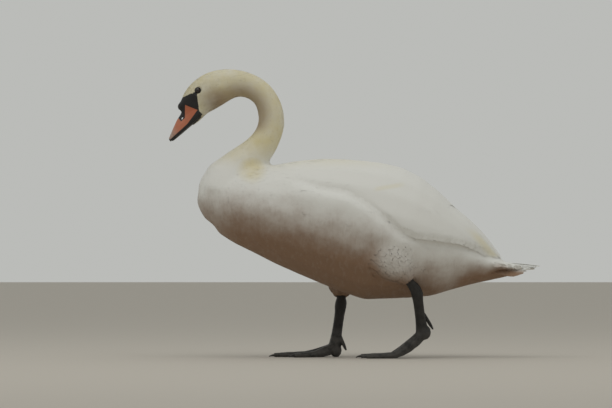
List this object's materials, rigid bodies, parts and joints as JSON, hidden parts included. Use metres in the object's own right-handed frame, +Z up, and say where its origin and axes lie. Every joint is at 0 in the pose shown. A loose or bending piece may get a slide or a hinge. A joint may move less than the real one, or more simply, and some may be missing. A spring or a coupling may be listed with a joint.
{
  "type": "mute swan",
  "caption": "Life-size still model of an adult mute swan walking, its neck curved and head bowed, with an orange bill and black knob, closed wings and webbed feet.",
  "frame": {"origin": "on the floor, below the middle of the model's box", "axes": "+X towards the tail (the swan faces -X), +Y towards its right side, +Z up"},
  "size_m": [0.7921, 0.2778, 0.6193],
  "materials": {
    "plumage": "soft matt white feathers, creamier on the head and neck, faintly buff below",
    "bill_orange": "satin horn, salmon orange fading to greyish pink at the tip",
    "bill_black": "satin black skin and horn",
    "eye_dark": "wet gloss, very dark brown",
    "leg_skin": "scaly leathery black-grey skin, satin",
    "claw_horn": "satin black horn"
  },
  "bodies": {
    "root": {"bill_knob": "bill_black", "bill_lower": "bill_black", "bill_upper": "bill_orange", "claw_inner_left": "claw_horn", "claw_inner_right": "claw_horn", "claw_middle_left": "claw_horn", "claw_middle_right": "claw_horn", "claw_outer_left": "claw_horn", "claw_outer_right": "claw_horn", "eye_left": "eye_dark", "eye_right": "eye_dark", "foot_left": "leg_skin", "foot_right": "leg_skin", "head": "plumage", "hind_toe_left": "leg_skin", "hind_toe_right": "leg_skin", "neck_lower": "plumage", "neck_middle": "plumage", "neck_upper": "plumage", "shank_left": "leg_skin", "shank_right": "leg_skin", "tail": "plumage", "thigh_left": "plumage", "thigh_right": "plumage", "trunk": "plumage", "wing_left": "plumage", "wing_right": "plumage"}
  },
  "joints": []
}
